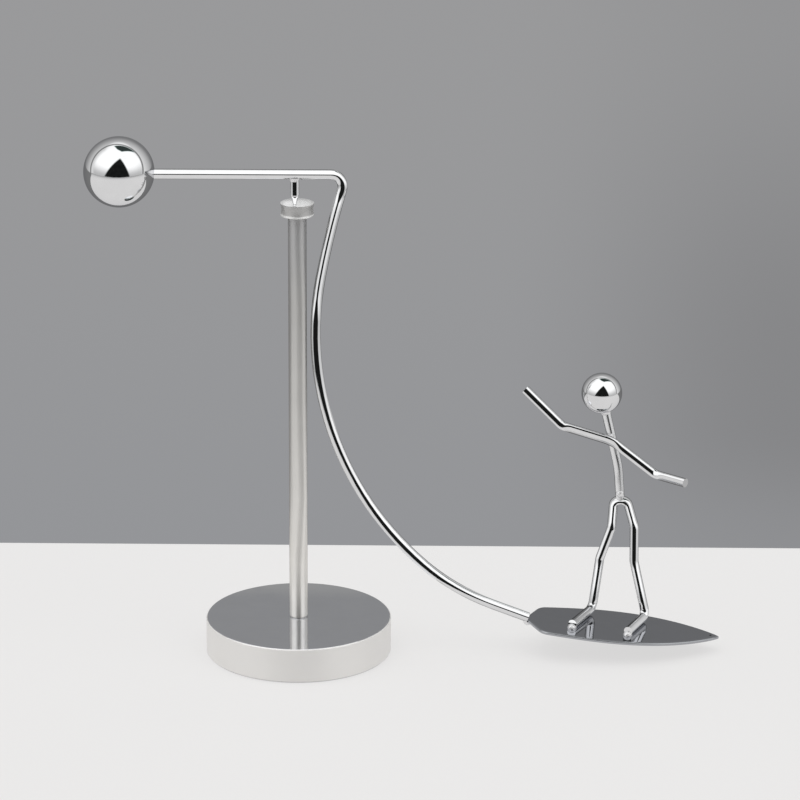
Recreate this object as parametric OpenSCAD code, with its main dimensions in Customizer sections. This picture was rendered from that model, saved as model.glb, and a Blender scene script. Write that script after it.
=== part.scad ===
// Balancing desk toy: a wire surfer on a board, hung from a curved arm that
// rocks and spins on a pin point in the dished cap of a polished post.
// Frame: X right along the level bar, Y away from the viewer, Z up.
// Origin: centre of the underside of the foot pad, on the desk. Millimetres.

/* [Base] */
// Diameter of the round base
base_d = 60; // [56:1:70]
// Height of the base top above the desk
base_h = 11.7; // [9:0.1:16]
// Edge chamfer of the base
base_chamfer = 0.35; // [0.1:0.05:1]
// Diameter of the foot pad in the underside
pad_d = 53; // [30:1:54]
// Thickness of the foot pad
pad_t = 1.2; // [0.8:0.1:1.4]
// How far the pad stands out of the underside
pad_out = 0.3; // [0.1:0.1:0.6]

/* [Post] */
// Diameter of the straight post
post_d = 5.9; // [5:0.1:6.5]
// Height of the cap rim above the desk
cap_z = 151; // [140:0.5:165]
// Cap diameter at the rim
cap_d = 10.6; // [10.4:0.1:13]
// Cap height
cap_h = 3.9; // [3.4:0.1:4.4]
// How far the cap's side is hollowed between rim and foot
waist_depth = 0.3; // [0.2:0.05:0.7]
// Depth of the dish in the cap
dish_depth = 1.2; // [0.8:0.1:1.4]
// Width of the dish
dish_d = 10; // [8:0.1:10.1]

/* [Pin] */
// Diameter of the pivot pin
pin_d = 2.8; // [2.4:0.1:3.2]
// Length of the pin's cone
cone_len = 3.2; // [2.4:0.1:4.5]
// Diameter of the round point that stands in the dish
point_d = 1; // [0.8:0.1:1.2]
// How far the point stands from the middle of the dish, towards the ball
point_off = 0.75; // [0:0.05:1]

/* [Arm] */
// Diameter of the arm's rod
rod_d = 3.2; // [2.6:0.1:3.2]
// Height of the bar above the desk
bar_z = 160.25; // [158:0.05:170]
// Where the straight bar ends, right of the post
bar_end = 10.6; // [9:0.1:14]
// Radius of the tight bend at the bar's end
bend_r = 3.7; // [3:0.1:5]
// Turn of the tight bend in degrees
bend_a = 106.2; // [104:0.1:107]
// Radius of the first sweep below the bend
sweep1_r = 285; // [260:5:310]
// Turn of the first sweep
sweep1_a = 6; // [5:0.5:7]
// Radius of the long middle sweep
sweep2_r = 105; // [100:1:110]
// Turn of the long middle sweep
sweep2_a = 58.2; // [56:0.1:60]
// Radius of the last sweep
sweep3_r = 73.4; // [68:0.1:80]
// Turn of the last sweep
sweep3_a = 21; // [18:0.5:24]
// Straight length at the board end
end_len = 12.2; // [8:0.1:16]
// Diameter of the counterweight ball
ball_d = 22.4; // [20:0.1:25]
// Distance from the post to the ball's centre
ball_x = 55.95; // [50:0.05:62]
// Height of the ball's centre above the bar's axis
ball_up = 0.6; // [0:0.1:1]

/* [Board] */
// Length of the board
board_len = 63; // [56:0.2:70]
// Greatest width of the board
board_w = 27.6; // [24:0.1:30]
// Thickness of the board
board_t = 0.98; // [0.9:0.01:1.4]
// Nose-down tilt of the board in degrees
board_tilt = 5.6; // [0:0.1:6]

/* [Figure] */
// Diameter of the figure's wire
wire_d = 2.9; // [2.6:0.05:3.1]
// Diameter of the head
head_d = 13; // [11:0.1:14]
// Wall of the hollow head
head_wall = 0.35; // [0.3:0.05:1]

/* [Hidden] */
$fn = 64;

chrome = [0.86, 0.87, 0.88];
steel = [0.74, 0.75, 0.76];
black = [0.06, 0.06, 0.06];
rr = rod_d / 2;
wr = wire_d / 2;
hair = 0.01;
lap = 0.06;
cut = 0.01;

// --- stand ---------------------------------------------------------------
spigot_d = 4;
spigot_l = 6;
cap_bottom = cap_z - cap_h;
dish_bottom = cap_z - dish_depth;
dish_r = (pow(dish_d / 2, 2) + pow(dish_depth, 2)) / (2 * dish_depth);
post_top = dish_bottom - 0.8;
foot_chamfer = 0.5;
// the hollow side of the cap is a ring of radius waist_r, and leaves a thin
// rim above it and a thin foot below it
waist_half = 1.6;
waist_z = cap_z - 0.4 - waist_half;
waist_r = (waist_half * waist_half + waist_depth * waist_depth) / (2 * waist_depth);
waist_ring = cap_d / 2 - waist_depth + waist_r;

// the round point stands on the dish, 0.05 mm clear of it
pivot_x = -point_off;
pivot_z = dish_bottom + dish_r - sqrt(pow(dish_r - 0.05 - point_d / 2, 2) - point_off * point_off);
socket_clear = 0.06;

// --- arm path: [x, z, heading] after each piece, heading 0 is +X ----------
function turn(p, r, a) = let (s = a < 0 ? -1 : 1)
  [p[0] - s * r * sin(p[2]) + s * r * sin(p[2] + a),
   p[1] + s * r * cos(p[2]) - s * r * cos(p[2] + a), p[2] + a];
function go(p, l) = [p[0] + l * cos(p[2]), p[1] + l * sin(p[2]), p[2]];
p0 = [bar_end, bar_z, 0];
p1 = turn(p0, bend_r, -bend_a);
p2 = turn(p1, sweep1_r, sweep1_a);
p3 = turn(p2, sweep2_r, sweep2_a);
p4 = turn(p3, sweep3_r, sweep3_a);
p5 = go(p4, end_len);
bar_start = -ball_x + 5;

// --- board frame: s along the board from the tail, w across, h up ---------
tail_x = p5[0] - 0.35;
tail_z = p5[1] - 0.2;
module on_board() translate([tail_x, 0, tail_z]) rotate([0, board_tilt, 0]) children();

// outline: fullest at 26, drawn in to a slightly rounded nose and to a
// three-sided tail with softened corners
widest = 26;
half_w = board_w / 2;
tail_s = 6;
tail_in = 2.5;
tip_w = 1.3;
function half_at(s) = s > widest
  ? half_w * pow(1 - pow((s - widest) / (board_len - widest), 2.2), 0.9)
  : half_w - tail_in * pow((widest - s) / (widest - tail_s), 1.6);
side_n = 60;
side = [for (i = [0 : side_n]) let (t = i / side_n, s = tail_s + (board_len - 0.1 - tail_s) * (1 - pow(1 - t, 1.5))) [s, half_at(s)]];
corner = [[0, tip_w], [3.5, 8.9], [4, 9.75], [4.6, 10.45], [5.3, 10.95]];
half_outline = concat(corner, side);
n_half = len(half_outline);
outline = concat(half_outline,
  [for (i = [0 : n_half - 1]) let (q = half_outline[n_half - 1 - i]) [q[0], -q[1]]]);

// --- figure, in the board's frame -----------------------------------------
// the leg wire from the left toe over the hips to the right toe
lie = wr + 0.02;
leg_pts = [[14.5, -5.6, lie], [21.6, 10.2, lie + 0.3], [21.7, 6, 20.8], [24, 3.4, 32.7],
  [23.5, 2, 42.7], [27.7, 1.6, 43], [31.2, 2.6, 34.1], [32.7, 4.4, 21.5], [39.1, 8.2, lie + 0.3], [32.6, -7.2, lie]];
leg_bend = [2.2, 4, 4, 2, 2.2, 6, 4, 2.2];
torso_pts = [[25.4, 1.8, 43.5], [23.4, 0.4, 54.6], [16.6, -2.3, 75]];
torso_bend = [40];
arm_pts = [[-8.8, 6.5, 75.6], [4.05, 1.6, 66.15], [20.1, -4.3, 64.6], [34.6, -9.5, 56.6], [43.7, -17, 57.3]];
arm_bend = [4, 12, 4];
crossing = [19.5, -2.5, 65.5];
head_up = 26.9;

// --- helpers ---------------------------------------------------------------
function unit(v) = v / norm(v);
// column-wise frame: x axis, y axis, z axis, origin
module placed(x, y, z, o) multmatrix([[x[0], y[0], z[0], o[0]], [x[1], y[1], z[1], o[1]],
  [x[2], y[2], z[2], o[2]], [0, 0, 0, 1]]) children();
module rod(a, b, r) {
  z = unit(b - a);
  side_axis = unit(cross(z, abs(z[0]) < 0.9 ? [1, 0, 0] : [0, 1, 0]));
  placed(side_axis, cross(z, side_axis), z, a) cylinder(h = norm(b - a), r = r);
}
// set-back of a bend from its corner
function setback(a, b, c, r) = r * tan(acos(unit(b - a) * unit(c - b)) / 2);
module bend(a, b, c, br, r) {
  d1 = unit(b - a);
  d2 = unit(c - b);
  n = unit(cross(d1, d2));
  m = cross(n, d1);
  s = b - d1 * setback(a, b, c, br);
  placed(-m, d1, n, s + m * br) rotate_extrude(angle = acos(d1 * d2)) translate([br, 0]) circle(r);
}
// a wire through points, with a bend radius at each inner point; the straights
// are a hair thinner than the bends and run a hair into them
module wire(p, br, r) {
  n = len(p);
  for (i = [0 : n - 2]) {
    d = unit(p[i + 1] - p[i]);
    a = i == 0 ? p[0] : p[i] + d * (setback(p[i - 1], p[i], p[i + 1], br[i - 1]) - lap);
    b = i == n - 2 ? p[n - 1] : p[i + 1] - d * (setback(p[i], p[i + 1], p[i + 2], br[i]) - lap);
    rod(a, b, r - hair);
  }
  for (i = [1 : n - 2]) bend(p[i - 1], p[i], p[i + 1], br[i - 1], r);
}
// one planar bend of the arm, from p, in the XZ plane; thin: a hair thinner,
// and run a hair into its neighbours
module arm_bend_piece(p, r, a, thin) {
  s = a < 0 ? -1 : 1;
  d1 = [cos(p[2]), 0, sin(p[2])];
  m = [-s * sin(p[2]), 0, s * cos(p[2])];
  more = thin ? lap / r * 180 / PI : 0;
  placed(-m, d1, [0, -s, 0], [p[0], 0, p[1]] + m * r) rotate([0, 0, -more])
    rotate_extrude(angle = abs(a) + 2 * more) translate([r, 0]) circle(thin ? rr - hair : rr);
}

// --- parts -------------------------------------------------------------------
module base_disc() color(steel) difference() {
  translate([0, 0, pad_out]) rotate_extrude($fn = 128) polygon([[0, 0], [base_d / 2 - base_chamfer, 0],
    [base_d / 2, base_chamfer], [base_d / 2, base_h - pad_out - base_chamfer],
    [base_d / 2 - base_chamfer, base_h - pad_out], [0, base_h - pad_out]]);
  translate([0, 0, -1]) cylinder(h = 1 + pad_t, d = pad_d + 0.4, $fn = 128);
  translate([0, 0, base_h - spigot_l - 0.4]) cylinder(h = spigot_l + 1, d = spigot_d + 0.1);
}

module foot_pad() color(black) cylinder(h = pad_t, d = pad_d, $fn = 128);

module post() color(chrome) rotate_extrude() polygon([[0, base_h - spigot_l], [spigot_d / 2, base_h - spigot_l],
  [spigot_d / 2, base_h], [post_d / 2 - foot_chamfer, base_h], [post_d / 2, base_h + foot_chamfer],
  [post_d / 2, post_top - 0.3], [post_d / 2 - 0.3, post_top], [0, post_top]]);

module post_cap() color(chrome) difference() {
  translate([0, 0, cap_bottom]) cylinder(h = cap_h, d = cap_d, $fn = 96);
  translate([0, 0, waist_z]) rotate_extrude($fn = 96) translate([waist_ring, 0]) circle(waist_r, $fn = 96);
  translate([0, 0, dish_bottom + dish_r]) sphere(r = dish_r, $fn = 128);
  translate([0, 0, cap_bottom - 1]) cylinder(h = post_top - cap_bottom + 1.03, d = post_d + 0.1);
}

module pivot_point() color(chrome) translate([pivot_x, 0, pivot_z]) sphere(d = point_d);

module pivot_pin() color(chrome) translate([pivot_x, 0, 0]) {
  // the cone runs to the round point, which turns in a seat at its end
  cone_bottom = pivot_z + point_d / 2 * 0.2;
  difference() {
    union() {
      translate([0, 0, cone_bottom]) cylinder(h = cone_len, r1 = point_d / 2, r2 = pin_d / 2);
      translate([0, 0, cone_bottom + cone_len]) cylinder(h = bar_z - cone_bottom - cone_len, d = pin_d);
    }
    translate([0, 0, pivot_z]) sphere(r = point_d / 2 + socket_clear);
    translate([-10, 0, bar_z]) rotate([0, 90, 0]) cylinder(h = 20, r = rr + cut);
  }
}

module pivot_weld() color(chrome) translate([pivot_x, 0, bar_z - rr]) difference() {
  translate([0, 0, -0.5]) cylinder(h = 1.2, r1 = pin_d / 2 + 0.15, r2 = pin_d / 2 + 0.6);
  translate([0, 0, -2]) cylinder(h = 4, r = pin_d / 2 + cut);
  translate([-10, 0, rr]) rotate([0, 90, 0]) cylinder(h = 20, r = rr + cut);
}

module balance_arm() color(chrome) {
  translate([bar_start, 0, bar_z]) rotate([0, 90, 0]) cylinder(h = bar_end - bar_start + lap, r = rr - hair);
  arm_bend_piece(p0, bend_r, -bend_a, false);
  arm_bend_piece(p1, sweep1_r, sweep1_a, true);
  arm_bend_piece(p2, sweep2_r, sweep2_a, false);
  arm_bend_piece(p3, sweep3_r, sweep3_a, true);
  rod([p4[0], 0, p4[1]], [p5[0], 0, p5[1]], rr);
}

module counterweight_ball() color(chrome) difference() {
  translate([-ball_x, 0, bar_z + ball_up]) sphere(d = ball_d, $fn = 128);
  translate([bar_start - 0.3, 0, bar_z]) rotate([0, 90, 0]) cylinder(h = 20, r = rr + cut);
}

module surfboard() color(chrome) on_board() translate([0, 0, -board_t]) linear_extrude(board_t) polygon(outline);

module tail_weld() color(chrome) difference() {
  translate([p5[0] - 0.1, 0, p5[1] - 1.2]) sphere(r = 1.5);
  rod([p4[0], 0, p4[1]], [p5[0], 0, p5[1]], rr + cut);
  on_board() translate([0, -5, -board_t - cut]) cube([10, 10, board_t + 5]);
}

// a bead under the cut end of a foot
module foot_weld(toe, heel) color(chrome) on_board() difference() {
  translate([toe[0], toe[1], 0.1]) sphere(r = 1.5);
  translate([toe[0] - 5, toe[1] - 5, -5]) cube([10, 10, 5 + cut]);
  rod(toe, toe + unit(heel - toe) * 8, wr + cut);
}
module left_foot_weld() foot_weld(leg_pts[0], leg_pts[1]);
module right_foot_weld() foot_weld(leg_pts[9], leg_pts[8]);

module leg_wire() color(chrome) on_board() wire(leg_pts, leg_bend, wr);

// the legs where the torso stands on them, grown by the fit
module hips_cut() wire([for (i = [3 : 6]) leg_pts[i]], [leg_bend[3], leg_bend[4]], wr + cut);

module hip_weld() color(chrome) on_board() difference() {
  translate(torso_pts[0] + [-0.35, -1.25, 2]) sphere(r = 1.3);
  hips_cut();
  rod(torso_pts[0], torso_pts[1], wr + cut);
}

module torso_wire() color(chrome) on_board() difference() {
  wire(torso_pts, torso_bend, wr);
  hips_cut();
}

module shoulder_weld() color(chrome) on_board() difference() {
  translate(crossing) sphere(r = 1.1);
  rod(arm_pts[1], arm_pts[2], wr + cut);
  rod(torso_pts[1], torso_pts[2], wr + cut);
}

module arm_wire() color(chrome) on_board() wire(arm_pts, arm_bend, wr);

// the head's frame: up along the torso wire, which runs through its middle
module on_neck() {
  z = unit(torso_pts[2] - torso_pts[1]);
  side_axis = unit(cross([0, 1, 0], z));
  on_board() placed(side_axis, cross(z, side_axis), z, torso_pts[1] + z * head_up) children();
}

module neck_weld() color(chrome) on_neck() difference() {
  translate([0, 0, 0.3 - head_d / 2]) sphere(r = wr + 0.4);
  sphere(d = head_d + 2 * cut, $fn = 128);
  translate([0, 0, -head_d]) cylinder(h = head_d, r = wr + cut);
}

module head_ball() color(chrome) on_neck() difference() {
  sphere(d = head_d, $fn = 128);
  sphere(d = head_d - 2 * head_wall, $fn = 128);
  translate([0, 0, -head_d]) cylinder(h = head_d, r = wr + cut);
}

base_disc();
foot_pad();
post();
post_cap();
pivot_point();
pivot_pin();
pivot_weld();
balance_arm();
counterweight_ball();
surfboard();
tail_weld();
left_foot_weld();
right_foot_weld();
leg_wire();
hip_weld();
torso_wire();
shoulder_weld();
arm_wire();
neck_weld();
head_ball();
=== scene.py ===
import math
import bmesh
import bpy
from mathutils import Matrix, Vector


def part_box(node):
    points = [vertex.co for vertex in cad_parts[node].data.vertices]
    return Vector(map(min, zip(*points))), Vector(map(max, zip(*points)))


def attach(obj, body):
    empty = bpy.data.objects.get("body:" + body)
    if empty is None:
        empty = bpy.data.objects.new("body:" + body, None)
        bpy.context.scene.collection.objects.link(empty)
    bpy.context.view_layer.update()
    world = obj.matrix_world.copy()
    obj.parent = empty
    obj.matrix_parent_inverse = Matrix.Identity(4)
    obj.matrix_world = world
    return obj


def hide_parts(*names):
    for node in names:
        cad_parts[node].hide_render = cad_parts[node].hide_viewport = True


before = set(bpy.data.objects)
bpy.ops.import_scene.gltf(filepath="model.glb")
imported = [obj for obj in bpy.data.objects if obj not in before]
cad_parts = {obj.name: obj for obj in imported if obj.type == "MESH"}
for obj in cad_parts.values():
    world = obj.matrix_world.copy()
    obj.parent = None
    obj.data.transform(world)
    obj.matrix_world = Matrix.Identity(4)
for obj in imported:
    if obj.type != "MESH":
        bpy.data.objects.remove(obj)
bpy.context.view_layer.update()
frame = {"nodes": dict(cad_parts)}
NODES = frame["nodes"]

for name in ("Cube", "Light", "Camera"):
    old = bpy.data.objects.get(name)
    if old is not None:
        bpy.data.objects.remove(old, do_unlink=True)


def obj_of(name):
    n = NODES[name] if isinstance(NODES, dict) else name
    return n if isinstance(n, bpy.types.Object) else bpy.data.objects[name]


# --- camera: long lens, 18.4 degrees down, almost level --------------------
cam_data = bpy.data.cameras.new("desk_camera")
cam = bpy.data.objects.new("desk_camera", cam_data)
bpy.context.scene.collection.objects.link(cam)
cam_data.sensor_width = 36.0
cam_data.lens = 186.12
cam_data.clip_start = 0.05
cam_data.clip_end = 40.0
cam.matrix_world = (Matrix.Translation((0.03264, -1.255, 0.50266))
                    @ Matrix.Rotation(math.radians(71.624), 4, "X")
                    @ Matrix.Rotation(math.radians(0.25), 4, "Z"))
bpy.context.scene.camera = cam
bpy.context.scene.view_settings.view_transform = "Standard"
bpy.context.scene.view_settings.look = "None"


# --- small node helpers ---------------------------------------------------
class Graph:
    def __init__(self, tree):
        self.t = tree
        tree.nodes.clear()

    def new(self, kind, **props):
        n = self.t.nodes.new(kind)
        for k, v in props.items():
            setattr(n, k, v)
        return n

    def put(self, socket, value):
        if isinstance(value, bpy.types.NodeSocket):
            self.t.links.new(value, socket)
        elif value is not None:
            socket.default_value = value

    def math(self, op, a, b=None, c=None, clamp=False):
        n = self.new("ShaderNodeMath", operation=op, use_clamp=clamp)
        for i, v in enumerate((a, b, c)):
            if v is not None:
                self.put(n.inputs[i], v)
        return n.outputs[0]

    def vmath(self, op, a, b=None, scale=None):
        n = self.new("ShaderNodeVectorMath", operation=op)
        self.put(n.inputs[0], a)
        if b is not None:
            self.put(n.inputs[1], b)
        if scale is not None:
            self.put(n.inputs["Scale"], scale)
        return n.outputs["Value"] if op in ("DOT_PRODUCT", "LENGTH") else n.outputs["Vector"]

    def span(self, value, a, b, lo=0.0, hi=1.0, smooth=True):
        n = self.new("ShaderNodeMapRange", interpolation_type="SMOOTHSTEP" if smooth else "LINEAR")
        self.put(n.inputs["Value"], value)
        for key, v in zip(("From Min", "From Max", "To Min", "To Max"), (a, b, lo, hi)):
            self.put(n.inputs[key], v)
        return n.outputs["Result"]

    def mix(self, fac, a, b):
        n = self.new("ShaderNodeMix", data_type="RGBA")
        self.put(n.inputs["Factor"], fac)
        for key, v in (("A", a), ("B", b)):
            s = [i for i in n.inputs if i.name == key and i.type == "RGBA"][0]
            if isinstance(v, bpy.types.NodeSocket):
                self.put(s, v)
            else:
                s.default_value = (*v[:3], 1.0)
        return [o for o in n.outputs if o.type == "RGBA"][0]

    def blend(self, fac, a, b):
        """a number between a and b"""
        n = self.new("ShaderNodeMix", data_type="FLOAT")
        fl = [i for i in n.inputs if i.type == "VALUE"]
        self.put(fl[0], fac)
        self.put(fl[1], a)
        self.put(fl[2], b)
        return [o for o in n.outputs if o.type == "VALUE"][0]

    def noise(self, vector, scale, detail=2.0, rough=0.5, dims="3D"):
        n = self.new("ShaderNodeTexNoise", noise_dimensions=dims)
        if dims == "1D":
            self.put(n.inputs["W"], vector)
        else:
            self.put(n.inputs["Vector"], vector)
        n.inputs["Scale"].default_value = scale
        n.inputs["Detail"].default_value = detail
        n.inputs["Roughness"].default_value = rough
        return n.outputs["Fac"]

    def bump(self, height, distance, strength=1.0, normal=None):
        n = self.new("ShaderNodeBump")
        n.inputs["Strength"].default_value = strength
        n.inputs["Distance"].default_value = distance
        self.put(n.inputs["Height"], height)
        if normal is not None:
            self.put(n.inputs["Normal"], normal)
        return n.outputs["Normal"]


# --- studio: soft white panels, a dark gap round the camera, grey backdrop -
def aim(azimuth, elevation):
    """a direction; azimuth 0 is towards the camera, + to its right"""
    a, e = math.radians(azimuth), math.radians(elevation)
    return Vector((math.sin(a) * math.cos(e), -math.cos(a) * math.cos(e), math.sin(e)))


world = bpy.data.worlds.new("soft_studio")
bpy.context.scene.world = world
world.use_nodes = True
g = Graph(world.node_tree)
coord = g.new("ShaderNodeTexCoord")
D = g.vmath("NORMALIZE", coord.outputs["Generated"])
sep = g.new("ShaderNodeSeparateXYZ")
g.put(sep.inputs[0], D)
dx, dy, dz = sep.outputs
elev = g.math("MULTIPLY", g.math("ARCSINE", dz), 180 / math.pi)


def side_of(a, b, inner, soft):
    """1 on inner's side of the great circle through a and b; soft in degrees"""
    n = a.cross(b).normalized()
    if n.dot(inner) < 0:
        n.negate()
    h = math.sin(math.radians(soft) / 2)
    return g.span(g.vmath("DOT_PRODUCT", D, tuple(n)), -h, h)


def times(*values):
    out = values[0]
    for v in values[1:]:
        out = g.math("MULTIPLY", out, v)
    return out


def beyond(a, b, inner):
    """degrees inside (+) or outside (-) of the great circle through a and b"""
    n = a.cross(b).normalized()
    if n.dot(inner) < 0:
        n.negate()
    return g.math("MULTIPLY", g.math("ARCSINE", g.vmath("DOT_PRODUCT", D, tuple(n))), 180 / math.pi)


panel = g.span(elev, -2.0, 30.0, 0.55, 1.28)
panel = g.math("ADD", panel, g.math("MULTIPLY", g.noise(D, 1.6, 2.0), 0.10))
wall = g.span(elev, 38.0, 66.0, 0.27, 1.22)
# right panel: long soft fall-off; left panel: crisp edge with a dark frame
ang_r = beyond(aim(92, 0), aim(112, 58), aim(40, 20))
ang_l = beyond(aim(-96, 0), aim(-124, 52), aim(-40, 20))
spill_r = g.span(ang_r, -56.0, -2.0, 0.25, 0.88, smooth=False)
spill_l = g.span(ang_l, -54.0, -8.0, 0.25, 0.60, smooth=False)
glow = g.math("MAXIMUM", wall, g.math("MAXIMUM", spill_r, spill_l))
frame_line = times(g.span(ang_l, -8.5, -6.5), g.span(ang_l, -2.0, 0.0, 1.0, 0.0), 0.8)
glow = g.blend(frame_line, glow, 0.14)
light = g.blend(times(g.span(ang_l, -1.5, 1.5), g.span(ang_r, -8.0, 8.0)), glow, panel)
# the dark gap
a, b, c = aim(-44, -4), aim(39, -4), aim(13, 59)
mid = aim(0, 20)
gap = times(side_of(a, b, mid, 3), side_of(b, c, mid, 5), side_of(c, a, mid, 5))
inside = g.math("ADD", 0.004, g.math("MULTIPLY", g.noise(D, 5.0, 3.0), 0.016))
light = g.blend(gap, light, inside)
# the dark flag overhead
flag_pts = [Vector(p) for p in ((0.16, -0.10, 1.0), (0.86, 0.30, 1.0), (0.12, 0.36, 1.0), (-0.20, 0.34, 1.0), (-0.06, 0.04, 1.0))]
flag_mid = Vector((0.12, 0.2, 1.0)).normalized()
flag = times(*[side_of(flag_pts[i], flag_pts[(i + 1) % 5], flag_mid, 4) for i in range(5)])
light = g.blend(flag, light, 0.05)
tint = g.mix(gap, (1.0, 1.0, 1.0), (0.95, 1.0, 0.97))
tint = g.mix(flag, tint, (0.75, 1.0, 0.95))
# below the edge of the floor
light = g.blend(g.span(elev, -6.0, -3.5, 1.0, 0.0), light, 0.22)
env = g.new("ShaderNodeBackground")
g.put(env.inputs["Color"], tint)
g.put(env.inputs["Strength"], light)
# the backdrop as the camera sees it
seen = g.new("ShaderNodeBackground")
seen_tone = g.mix(g.span(elev, -24.0, -12.0), (0.290, 0.296, 0.312), (0.322, 0.322, 0.328))
shade = times(g.span(dx, 0.02, 0.095), g.span(elev, -13.0, -17.8, 0.35, 1.0), g.span(elev, -20.4, -18.6, 0.42, 1.0))
seen_tone = g.mix(g.math("MULTIPLY", shade, 0.62), seen_tone, (0.20, 0.20, 0.205))
g.put(seen.inputs["Color"], seen_tone)
seen.inputs["Strength"].default_value = 1.0
path = g.new("ShaderNodeLightPath")
both = g.new("ShaderNodeMixShader")
g.put(both.inputs[0], path.outputs["Is Camera Ray"])
g.t.links.new(env.outputs[0], both.inputs[1])
g.t.links.new(seen.outputs[0], both.inputs[2])
out = g.new("ShaderNodeOutputWorld")
g.t.links.new(both.outputs[0], out.inputs["Surface"])


def area(name, place, target, size, size_y, watts, glossy=False, only=None):
    d = bpy.data.lights.new(name, "AREA")
    d.shape = "RECTANGLE"
    d.size, d.size_y, d.energy = size, size_y, watts
    o = bpy.data.objects.new(name, d)
    bpy.context.scene.collection.objects.link(o)
    o.location = place
    o.rotation_euler = (Vector(target) - Vector(place)).to_track_quat("-Z", "Y").to_euler()
    o.visible_camera = False
    o.visible_glossy = glossy
    if only:
        keep = bpy.data.collections.new(name + "_only")
        for x in only:
            keep.objects.link(x)
        o.light_linking.receiver_collection = keep
    return o


area("overhead", (0.0, -0.25, 1.6), (0.0, -0.1, 0.0), 1.8, 1.8, 9.0)


# --- floor -----------------------------------------------------------------
def table_top():
    far_l, far_r = Vector((-0.105, 0.09926, 0)), Vector((0.1705, 0.0972, 0))
    along = (far_r - far_l).normalized()
    mid_far = (far_l + far_r) / 2
    pts = [mid_far - along * 3.0, mid_far + along * 3.0]
    pts += [pts[1] + Vector((0, -3.1, 0)), pts[0] + Vector((0, -3.1, 0))]
    bm = bmesh.new()
    top = [bm.verts.new(p) for p in pts]
    bottom = [bm.verts.new(p + Vector((0, 0, -0.03))) for p in pts]
    bm.faces.new(top[::-1])
    bm.faces.new(bottom)
    for i in range(4):
        j = (i + 1) % 4
        bm.faces.new((top[i], top[j], bottom[j], bottom[i]))
    bmesh.ops.recalc_face_normals(bm, faces=bm.faces)
    edges = [e for e in bm.edges if all(abs(v.co.z) < 1e-6 for v in e.verts)]
    bmesh.ops.bevel(bm, geom=edges, offset=0.0012, segments=3, profile=0.5, affect="EDGES")
    me = bpy.data.meshes.new("table_top")
    bm.to_mesh(me)
    bm.free()
    o = bpy.data.objects.new("table_top", me)
    bpy.context.scene.collection.objects.link(o)
    return o


table = table_top()
m = bpy.data.materials.new("pale_table")
m.use_nodes = True
g = Graph(m.node_tree)
tc = g.new("ShaderNodeTexCoord")
P = tc.outputs["Object"]
far = g.vmath("LENGTH", P)
# painted light: the table glows with most of its brightness so its shadows stay faint; its tone is darker far off
tone = g.mix(g.span(far, 0.55, 2.4), (0.830, 0.822, 0.818), (0.42, 0.42, 0.42))
cloud = g.noise(P, 9.0, 3.0)
tone = g.mix(g.math("MULTIPLY", cloud, 0.035), tone, (0.5, 0.5, 0.5))
bsdf = g.new("ShaderNodeBsdfPrincipled")
g.put(bsdf.inputs["Base Color"], g.mix(0.78, tone, (0.0, 0.0, 0.0)))
g.put(bsdf.inputs["Emission Color"], tone)
bsdf.inputs["Emission Strength"].default_value = 0.76
bsdf.inputs["Roughness"].default_value = 0.75
bsdf.inputs["Specular IOR Level"].default_value = 0.1
g.put(bsdf.inputs["Normal"], g.bump(g.noise(P, 900.0, 2.0), 0.00004))
o = g.new("ShaderNodeOutputMaterial")
g.t.links.new(bsdf.outputs[0], o.inputs[0])
table.data.materials.append(m)


# --- materials ------------------------------------------------------------
def finish_material(g, shader):
    o = g.new("ShaderNodeOutputMaterial")
    g.t.links.new(shader, o.inputs["Surface"])


def ramp(g, value, stops):
    """a number along value, 0 to 1, straight between the stops"""
    n = g.new("ShaderNodeValToRGB")
    g.put(n.inputs[0], value)
    e = n.color_ramp.elements
    while len(e) < len(stops):
        e.new(0.5)
    for i, (at, v) in enumerate(sorted(stops)):
        e[i].position = at
        e[i].color = (v, v, v, 1.0)
    return n.outputs["Color"]


def shaped(g, P, rise=None, fuller=None, shift=None, facet=None):
    """The way the polish of a rod leans, each by place along an axis: rise
    lifts it, fuller rounds it off towards the front, shift turns it sideways,
    facet flattens its upper half where the buffing wheel lay along it."""
    geo = g.new("ShaderNodeNewGeometry")
    sp = g.new("ShaderNodeSeparateXYZ")
    g.put(sp.inputs[0], P)
    nn = g.new("ShaderNodeSeparateXYZ")
    g.put(nn.inputs[0], geo.outputs["Normal"])
    x, y, z = nn.outputs

    def along(axis, stops, low, high):
        start, reach = (0.0, 0.17) if axis == "Z" else (-0.07, 0.22)
        at = g.math("DIVIDE", g.math("SUBTRACT", sp.outputs[axis], start), reach)
        v = ramp(g, at, [((p - start) / reach, (q - low) / (high - low)) for p, q in stops])
        return g.math("ADD", g.math("MULTIPLY", v, high - low), low)

    full = along(*fuller, 0.0, 2.0) if fuller else None
    if full:
        y = g.math("MULTIPLY", y, full)
    if rise:
        lean = g.math("MULTIPLY", along(*rise, -1.0, 1.0), g.span(nn.outputs[1], -0.55, -0.10, 1.0, 0.25))
        z = g.math("ADD", z, g.math("MULTIPLY", lean, full) if full else lean)
    if shift:
        x = g.math("ADD", x, along(*shift, -1.0, 1.0))
    if facet:
        axis, place, width, stops = facet
        f = g.math("MULTIPLY", along(axis, stops, 0.0, 1.0), g.span(nn.outputs[2], place - width, place + width))
        f = g.math("MULTIPLY", f, g.span(nn.outputs[2], 0.90, 0.985, 1.0, 0.0))
        y = g.blend(f, y, -0.70)
        z = g.blend(f, z, g.math("ADD", 0.68, g.math("MULTIPLY", nn.outputs[2], 0.12)))
    made = g.new("ShaderNodeCombineXYZ")
    for i, v in enumerate((x, y, z)):
        g.put(made.inputs[i], v)
    return g.vmath("NORMALIZE", made.outputs[0])


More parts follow.
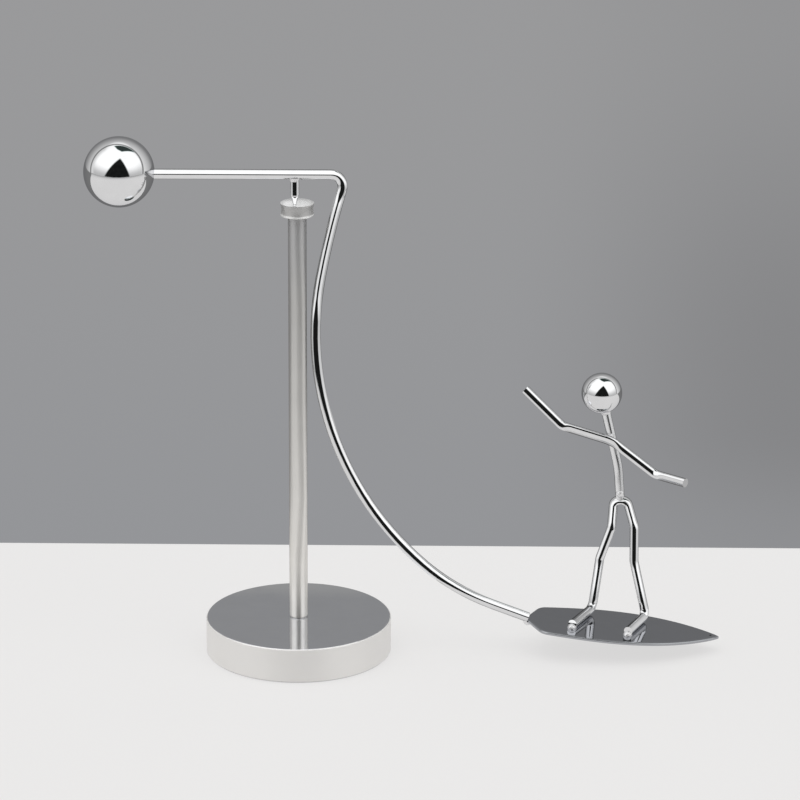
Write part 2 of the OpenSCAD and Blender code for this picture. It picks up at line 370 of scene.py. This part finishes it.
def chrome(name, colour=(0.775, 0.778, 0.785), rough=0.035, spread=0.03, wave=3.0e-5, wave_scale=95.0,
           scratch=0.8e-6, edge=0.30, painted_shade_by_height=None, **lean):
    """Polished plate: slow ripples left by the buffing, fine hairlines, faint
    cloudy handling marks that change the gloss, a dip of the gloss at the
    edges; the colour can also be painted darker by height, as painted shade."""
    m = bpy.data.materials.new(name)
    m.use_nodes = True
    g = Graph(m.node_tree)
    P = g.new("ShaderNodeTexCoord").outputs["Object"]
    haze = g.noise(P, 260.0, 4.0, 0.6)
    spots = g.noise(P, 1900.0, 2.0, 0.5)
    r = g.span(haze, 0.42, 0.72, rough, rough + spread)
    r = g.math("ADD", r, g.span(spots, 0.66, 0.80, 0.0, 0.05))
    tone = g.mix(g.span(haze, 0.35, 0.75), colour, tuple(0.965 * v for v in colour))
    # painted shade: the chrome's colour is darkened by height
    if painted_shade_by_height:
        sp = g.new("ShaderNodeSeparateXYZ")
        g.put(sp.inputs[0], P)
        painted_shade = ramp(g, g.math("DIVIDE", sp.outputs["Z"], 0.17), [(p / 0.17, v) for p, v in painted_shade_by_height])
        tone = g.mix(painted_shade, (0.0, 0.0, 0.0), tone)
    base = shaped(g, P, **lean) if lean else None
    n = g.bump(g.noise(P, wave_scale, 1.0), wave, 1.0, base)
    n = g.bump(g.noise(P, 5200.0, 2.0, 0.7), scratch, 1.0, n)
    b = g.new("ShaderNodeBsdfPrincipled")
    b.inputs["Metallic"].default_value = 1.0
    b.inputs["Specular Tint"].default_value = (edge, edge, 1.03 * edge, 1.0)
    g.put(b.inputs["Base Color"], tone)
    g.put(b.inputs["Roughness"], r)
    g.put(b.inputs["Normal"], n)
    finish_material(g, b.outputs[0])
    return m


# painted shade: the bent rod's colour is painted darker along the upper arm, 122 to 148 mm up
rod_arm = chrome("bent_rod_chrome", wave=4.0e-5, edge=0.18,
                 rise=("Z", [(0.0, 0.0), (0.0165, 0.0), (0.025, 0.42), (0.036, 0.33), (0.060, 0.17), (0.112, 0.19),
                             (0.120, 0.52), (0.1515, 0.50), (0.1540, 0.22), (0.1580, 0.18), (0.1600, 0.0)]),
                 fuller=("Z", [(0.0, 1.0), (0.020, 1.0), (0.036, 1.4), (0.112, 1.5), (0.120, 1.0), (0.1515, 1.0),
                               (0.1545, 1.35), (0.1580, 1.2), (0.1600, 1.0)]),
                 shift=("Z", [(0.0, 0.0), (0.112, 0.0), (0.120, 0.16), (0.1515, 0.16), (0.1545, 0.0), (0.1580, -0.10), (0.1600, 0.0)]),
                 painted_shade_by_height=[(0.0, 1.0), (0.112, 1.0), (0.122, 0.74), (0.148, 0.76), (0.153, 1.0), (0.17, 1.0)],
                 facet=("X", 0.25, 0.17, [(-0.06, 1.0), (0.0115, 1.0), (0.0132, 0.0), (0.048, 0.0), (0.062, 0.6), (0.08, 0.6)]))
arm_chrome = chrome("hand_wire_chrome", wave=3.0e-5, edge=0.12,
                    rise=("X", [(0.06, 0.22), (0.0845, 0.22), (0.0870, -0.45), (0.101, -0.45), (0.103, 0.16), (0.1145, 0.16), (0.116, -0.40)]),
                    fuller=("X", [(0.0, 1.45), (0.0845, 1.45), (0.0870, 1.0), (0.101, 1.0), (0.103, 1.45), (0.1145, 1.45), (0.116, 1.0)]))
leg_chrome = chrome("leg_wire_chrome", wave=3.0e-5, edge=0.12,
                    rise=("Z", [(0.0, 0.12), (0.0112, 0.12), (0.0115, 0.40), (0.0135, 0.40), (0.020, 0.60), (0.027, 0.60), (0.030, 0.34), (0.0415, 0.34), (0.0440, 0.62), (0.053, 0.62), (0.056, 0.2)]),
                    fuller=("Z", [(0.0, 1.9), (0.0112, 1.9), (0.0115, 1.15), (0.0135, 1.0), (0.027, 1.0), (0.031, 1.4), (0.0415, 1.4), (0.0440, 0.85), (0.053, 0.85), (0.056, 1.2)]))
torso_chrome = chrome("torso_wire_chrome", wave=3.0e-5, rough=0.13, spread=0.05, edge=0.12,
                      rise=("Z", [(0.0, 0.25), (0.17, 0.25)]), fuller=("Z", [(0.0, 1.2), (0.17, 1.2)]))
ball_chrome = chrome("ball_chrome", wave=0.6e-5, wave_scale=60.0, rough=0.03, spread=0.02, edge=0.75)
board_chrome = chrome("plate_chrome", colour=(0.41, 0.42, 0.44), rough=0.05, spread=0.03, wave=0.8e-5, edge=0.93)
pin_chrome = chrome("pin_chrome", wave=0.5e-5, wave_scale=400.0,
                    rise=("Z", [(0.0, 1.0), (0.1529, 1.0), (0.1533, 0.19), (0.17, 0.19)]),
                    fuller=("Z", [(0.0, 1.5), (0.17, 1.5)]))


def weld_material():
    m = bpy.data.materials.new("weld_bead_metal")
    m.use_nodes = True
    g = Graph(m.node_tree)
    P = g.new("ShaderNodeTexCoord").outputs["Object"]
    lumps = g.noise(P, 1100.0, 2.0, 0.5)
    grit = g.noise(P, 5200.0, 2.0, 0.6)
    b = g.new("ShaderNodeBsdfPrincipled")
    b.inputs["Metallic"].default_value = 1.0
    b.inputs["Specular Tint"].default_value = (0.93, 0.94, 0.95, 1.0)
    g.put(b.inputs["Base Color"], g.mix(g.span(grit, 0.45, 0.75), (0.86, 0.86, 0.87), (0.66, 0.65, 0.64)))
    g.put(b.inputs["Roughness"], g.span(grit, 0.3, 0.7, 0.42, 0.55))
    n = g.bump(lumps, 2.2e-4)
    n = g.bump(grit, 1.2e-5, 1.0, n)
    g.put(b.inputs["Normal"], n)
    finish_material(g, b.outputs[0])
    return m


def post_material(name, painted_light_by_height, rough, **lean):
    """Polished bar: hairlines round it from the lathe, softly blurred gloss,
    the colour painted lighter towards the foot, a painted reflection."""
    m = bpy.data.materials.new(name)
    m.use_nodes = True
    g = Graph(m.node_tree)
    P = g.new("ShaderNodeTexCoord").outputs["Object"]
    sp = g.new("ShaderNodeSeparateXYZ")
    g.put(sp.inputs[0], P)
    rings = g.noise(g.math("MULTIPLY", sp.outputs["Z"], 1.0), 9000.0, 3.0, 0.6, "1D")
    patch = g.noise(P, 140.0, 3.0)
    tan = g.new("ShaderNodeTangent", direction_type="RADIAL", axis="Z")
    b = g.new("ShaderNodeBsdfPrincipled")
    b.inputs["Metallic"].default_value = 0.82
    b.inputs["Anisotropic"].default_value = 0.85
    b.inputs["Anisotropic Rotation"].default_value = 0.25
    b.inputs["Specular Tint"].default_value = (0.95, 0.945, 0.93, 1.0)
    g.put(b.inputs["Tangent"], tan.outputs[0])
    # painted reflection: colour by height, lighter towards the foot
    n = g.new("ShaderNodeValToRGB")
    g.put(n.inputs[0], g.math("DIVIDE", sp.outputs["Z"], 0.17))
    e = n.color_ramp.elements
    while len(e) < len(painted_light_by_height):
        e.new(0.5)
    for i, (at, c) in enumerate(sorted(painted_light_by_height)):
        e[i].position = at / 0.17
        e[i].color = (*c, 1.0)
    g.put(b.inputs["Base Color"], g.mix(g.math("MULTIPLY", patch, 0.08), n.outputs["Color"], (0.2, 0.2, 0.2)))
    gloss = g.math("ADD", g.span(patch, 0.3, 0.7, rough, rough + 0.05), g.span(rings, 0.55, 0.75, 0.0, 0.05))
    g.put(b.inputs["Roughness"], g.math("ADD", gloss, g.span(sp.outputs["Z"], 0.105, 0.140, 0.0, 0.12)))
    g.put(b.inputs["Normal"], g.bump(rings, 1.2e-6, 1.0, shaped(g, P, **lean)))
    finish_material(g, b.outputs[0])
    return m


def cap_material():
    """The turned cap: satin outside, polished in the dish and on the rim."""
    m = bpy.data.materials.new("turned_cap_metal")
    m.use_nodes = True
    g = Graph(m.node_tree)
    P = g.new("ShaderNodeTexCoord").outputs["Object"]
    sp = g.new("ShaderNodeSeparateXYZ")
    g.put(sp.inputs[0], P)
    rings = g.noise(sp.outputs["Z"], 9000.0, 3.0, 0.6, "1D")
    patch = g.noise(P, 140.0, 3.0)
    geo = g.new("ShaderNodeNewGeometry")
    nn = g.new("ShaderNodeSeparateXYZ")
    g.put(nn.inputs[0], geo.outputs["Normal"])
    up = g.span(nn.outputs[2], 0.25, 0.5)
    tan = g.new("ShaderNodeTangent", direction_type="RADIAL", axis="Z")
    side = g.new("ShaderNodeBsdfPrincipled")
    side.inputs["Metallic"].default_value = 0.5
    side.inputs["Anisotropic"].default_value = 0.7
    side.inputs["Anisotropic Rotation"].default_value = 0.25
    g.put(side.inputs["Tangent"], tan.outputs[0])
    # painted highlight: a lighter band along the bottom edge of the side
    painted_lip_highlight = g.span(sp.outputs["Z"], 0.14755, 0.14795, 1.0, 0.0)
    g.put(side.inputs["Base Color"], g.mix(painted_lip_highlight, g.mix(patch, (0.52, 0.515, 0.51), (0.44, 0.44, 0.435)), (0.80, 0.80, 0.79)))
    g.put(side.inputs["Roughness"], g.span(patch, 0.3, 0.7, 0.34, 0.42))
    g.put(side.inputs["Normal"], g.bump(rings, 1.2e-6))
    dish = g.new("ShaderNodeBsdfPrincipled")
    dish.inputs["Metallic"].default_value = 1.0
    # the colour is darker on the top of the rim
    rim_top_darker = g.span(sp.outputs["Z"], 0.15045, 0.15095)
    g.put(dish.inputs["Base Color"], g.mix(rim_top_darker, g.mix(patch, (0.97, 0.97, 0.97), (0.90, 0.90, 0.90)), (0.70, 0.70, 0.70)))
    g.put(dish.inputs["Roughness"], g.span(patch, 0.3, 0.7, 0.20, 0.28))
    made = g.new("ShaderNodeCombineXYZ")
    g.put(made.inputs[0], g.math("MULTIPLY", nn.outputs[0], 0.3))
    g.put(made.inputs[1], g.math("SUBTRACT", g.math("MULTIPLY", nn.outputs[1], 0.10), 0.36))
    g.put(made.inputs[2], nn.outputs[2])
    g.put(dish.inputs["Normal"], g.bump(g.noise(P, 900.0, 2.0), 1.4e-5, 1.0, g.vmath("NORMALIZE", made.outputs[0])))
    pick = g.new("ShaderNodeMixShader")
    g.put(pick.inputs[0], up)
    g.t.links.new(side.outputs[0], pick.inputs[1])
    g.t.links.new(dish.outputs[0], pick.inputs[2])
    finish_material(g, pick.outputs[0])
    return m


def base_material():
    """Turned disc: mirror top with faint turning marks, bright chamfer, satin
    side brushed round the rim."""
    m = bpy.data.materials.new("turned_base_metal")
    m.use_nodes = True
    g = Graph(m.node_tree)
    P = g.new("ShaderNodeTexCoord").outputs["Object"]
    sp = g.new("ShaderNodeSeparateXYZ")
    g.put(sp.inputs[0], P)
    flat = g.new("ShaderNodeCombineXYZ")
    g.put(flat.inputs[0], sp.outputs[0])
    g.put(flat.inputs[1], sp.outputs[1])
    radius = g.vmath("LENGTH", flat.outputs[0])
    turn = g.noise(radius, 2600.0, 4.0, 0.7, "1D")
    fine = g.noise(sp.outputs[2], 12000.0, 4.0, 0.7, "1D")
    cloud = g.noise(P, 70.0, 4.0, 0.6)
    tan = g.new("ShaderNodeTangent", direction_type="RADIAL", axis="Z")
    top = g.new("ShaderNodeBsdfPrincipled")
    top.inputs["Metallic"].default_value = 1.0
    top.inputs["Specular Tint"].default_value = (0.93, 0.94, 0.95, 1.0)
    # painted reflection: lighter patches on the top behind the post
    painted_rear_highlight = g.math("MULTIPLY", g.span(sp.outputs[1], 0.012, 0.029), g.span(g.noise(P, 60.0, 2.0, 0.5), 0.35, 0.6))
    top_tone = g.mix(cloud, (0.84, 0.85, 0.885), (0.76, 0.77, 0.80))
    g.put(top.inputs["Base Color"], g.mix(painted_rear_highlight, top_tone, (0.98, 0.98, 0.99)))
    g.put(top.inputs["Roughness"], g.math("ADD", g.span(cloud, 0.35, 0.7, 0.04, 0.085), g.span(turn, 0.55, 0.8, 0.0, 0.03)))
    g.put(top.inputs["Normal"], g.bump(turn, 1.0e-6, 1.0, g.bump(cloud, 4.0e-5)))
    rim = g.new("ShaderNodeBsdfPrincipled")
    rim.inputs["Metallic"].default_value = 0.35
    rim.inputs["Anisotropic"].default_value = 0.75
    rim.inputs["Anisotropic Rotation"].default_value = 0.25
    rim.inputs["Specular Tint"].default_value = (0.95, 0.95, 0.95, 1.0)
    g.put(rim.inputs["Tangent"], tan.outputs[0])
    # painted shade: the lowest band of the side is darker, as the shadow line over the foot pad
    painted_contact_shade = g.span(sp.outputs[2], 0.00050, 0.00085, 1.0, 0.0)
    side_tone = g.mix(g.noise(P, 45.0, 3.0, 0.6), (0.87, 0.855, 0.83), (0.80, 0.785, 0.77))
    g.put(rim.inputs["Base Color"], g.mix(g.math("MULTIPLY", painted_contact_shade, 0.55), side_tone, (0.30, 0.295, 0.29)))
    g.put(rim.inputs["Roughness"], g.span(fine, 0.3, 0.7, 0.42, 0.52))
    g.put(rim.inputs["Normal"], g.bump(fine, 2.0e-6))
    pick = g.new("ShaderNodeMixShader")
    g.put(pick.inputs[0], g.span(radius, 0.02955, 0.02985))
    g.t.links.new(top.outputs[0], pick.inputs[1])
    g.t.links.new(rim.outputs[0], pick.inputs[2])
    finish_material(g, pick.outputs[0])
    return m


def foam_material():
    m = bpy.data.materials.new("foot_foam")
    m.use_nodes = True
    g = Graph(m.node_tree)
    P = g.new("ShaderNodeTexCoord").outputs["Object"]
    cell = g.new("ShaderNodeTexVoronoi")
    g.put(cell.inputs["Vector"], P)
    cell.inputs["Scale"].default_value = 2600.0
    d = cell.outputs["Distance"]
    mott = g.noise(P, 300.0, 3.0)
    b = g.new("ShaderNodeBsdfPrincipled")
    b.inputs["Specular IOR Level"].default_value = 0.25
    g.put(b.inputs["Base Color"], g.mix(g.math("MULTIPLY", d, mott), (0.022, 0.022, 0.024), (0.075, 0.075, 0.08)))
    g.put(b.inputs["Roughness"], g.span(mott, 0.3, 0.7, 0.8, 0.95))
    g.put(b.inputs["Normal"], g.bump(d, 1.5e-4))
    finish_material(g, b.outputs[0])
    return m


def dress(name, material):
    o = obj_of(name)
    for s in range(max(1, len(o.material_slots))):
        if s < len(o.material_slots):
            o.material_slots[s].material = material
        else:
            o.data.materials.append(material)


weld = weld_material()
# painted reflection: these colour stops make the post lighter towards the foot
satin = post_material("satin_rod_metal",
                      [(0.0, (0.90, 0.88, 0.84)), (0.032, (0.86, 0.84, 0.80)), (0.053, (0.78, 0.765, 0.735)),
                       (0.086, (0.64, 0.63, 0.61)), (0.118, (0.54, 0.535, 0.52)), (0.138, (0.50, 0.50, 0.50)),
                       (0.150, (0.50, 0.50, 0.505))], 0.34,
                      shift=("Z", [(0.0, 0.0), (0.030, 0.0), (0.053, -0.42), (0.086, -0.26), (0.118, -0.26), (0.138, -0.05)]),
                      rise=("Z", [(0.0, 0.05), (0.10, 0.06), (0.15, 0.08)]))
dress("base_disc", base_material())
dress("foot_pad", foam_material())
dress("post", satin)
dress("post_cap", cap_material())
dress("pivot_point", pin_chrome)
dress("pivot_pin", pin_chrome)
dress("balance_arm", rod_arm)
dress("counterweight_ball", ball_chrome)
dress("head_ball", ball_chrome)
dress("surfboard", board_chrome)
dress("leg_wire", leg_chrome)
dress("torso_wire", torso_chrome)
dress("arm_wire", arm_chrome)
for n in ("pivot_weld", "tail_weld", "left_foot_weld", "right_foot_weld", "hip_weld", "shoulder_weld", "neck_weld"):
    dress(n, weld)


# --- surfboard: the same plate with its edges broken and polished round ----
THICK = 0.98  # mm


def board_half(s):
    """half width at s, mm along the board from the tail"""
    if s > 26.0:
        return 13.8 * max(0.0, 1 - ((s - 26.0) / 37.0) ** 2.2) ** 0.9
    return 13.8 - 2.5 * ((26.0 - s) / 20.0) ** 1.6


def surfboard():
    tilt = math.radians(5.6)
    lo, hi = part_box("surfboard")
    tail = Vector((lo.x + 0.001 * THICK * math.sin(tilt), 0.0, hi.z))
    half = [(0.02, 1.25), (1.7, 5.0), (3.5, 8.85), (4.0, 9.7), (4.6, 10.4), (5.3, 10.9)]
    n = 64
    for i in range(n + 1):
        t = i / n
        s = 6.0 + (63.0 - 0.12 - 6.0) * (1 - (1 - t) ** 1.5)
        half.append((s, board_half(s) - 0.01))
    ring = half + [(s, -w) for s, w in reversed(half)]
    pts = [Vector((s, w)) for s, w in ring]
    count = len(pts)
    normals = []
    for i in range(count):
        d = (pts[(i + 1) % count] - pts[i - 1]).normalized()
        nrm = Vector((d.y, -d.x))
        normals.append(nrm)
    centre = Vector((28.0, 0.0))
    if (pts[10] - centre).dot(normals[10]) < 0:
        normals = [-v for v in normals]
    r = 0.30
    steps = 4
    profile = []
    for k in range(steps + 1):  # from the top face round to the side
        a = math.pi / 2 * k / steps
        profile.append((r * (1 - math.sin(a)), -r * (1 - math.cos(a))))
    for k in range(steps + 1):
        a = math.pi / 2 * k / steps
        profile.append((r * (1 - math.cos(a)), -THICK + r * (1 - math.sin(a))))
    bm = bmesh.new()
    loops = []
    inner = (1.2, 0.0)
    rows = [inner] + profile + [(1.2, -THICK)]
    for inset, h in rows:
        loop = []
        for p, nrm in zip(pts, normals):
            q = p - nrm * inset
            if abs(p.y) < inset + 0.4 and p.x > 40:  # keep the nose from crossing itself
                q = Vector((p.x - inset * 1.6, p.y * max(0.0, 1 - inset / 1.4)))
            loop.append(bm.verts.new((q.x / 1000, q.y / 1000, h / 1000)))
        loops.append(loop)
    for a_loop, b_loop in zip(loops, loops[1:]):
        for i in range(count):
            j = (i + 1) % count
            bm.faces.new((a_loop[i], a_loop[j], b_loop[j], b_loop[i]))
    for loop in (loops[0], loops[-1]):  # flat faces as strips across the board
        m = count // 2
        for i in range(m - 1):
            a1, a2 = loop[i], loop[i + 1]
            b1, b2 = loop[count - 1 - i], loop[count - 2 - i]
            bm.faces.new((a1, a2, b2, b1))
    bmesh.ops.remove_doubles(bm, verts=bm.verts, dist=1e-7)
    bmesh.ops.dissolve_degenerate(bm, edges=bm.edges, dist=1e-7)
    bmesh.ops.recalc_face_normals(bm, faces=bm.faces)
    for f in bm.faces:
        f.smooth = True
    me = bpy.data.meshes.new("surfboard_plate")
    bm.to_mesh(me)
    bm.free()
    me.transform(Matrix.Translation(tail) @ Matrix.Rotation(tilt, 4, "Y"))
    o = bpy.data.objects.new("surfboard_plate", me)
    bpy.context.scene.collection.objects.link(o)
    o.data.materials.append(board_chrome)
    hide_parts("surfboard")
    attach(o, "balance")
    return o


board = surfboard()
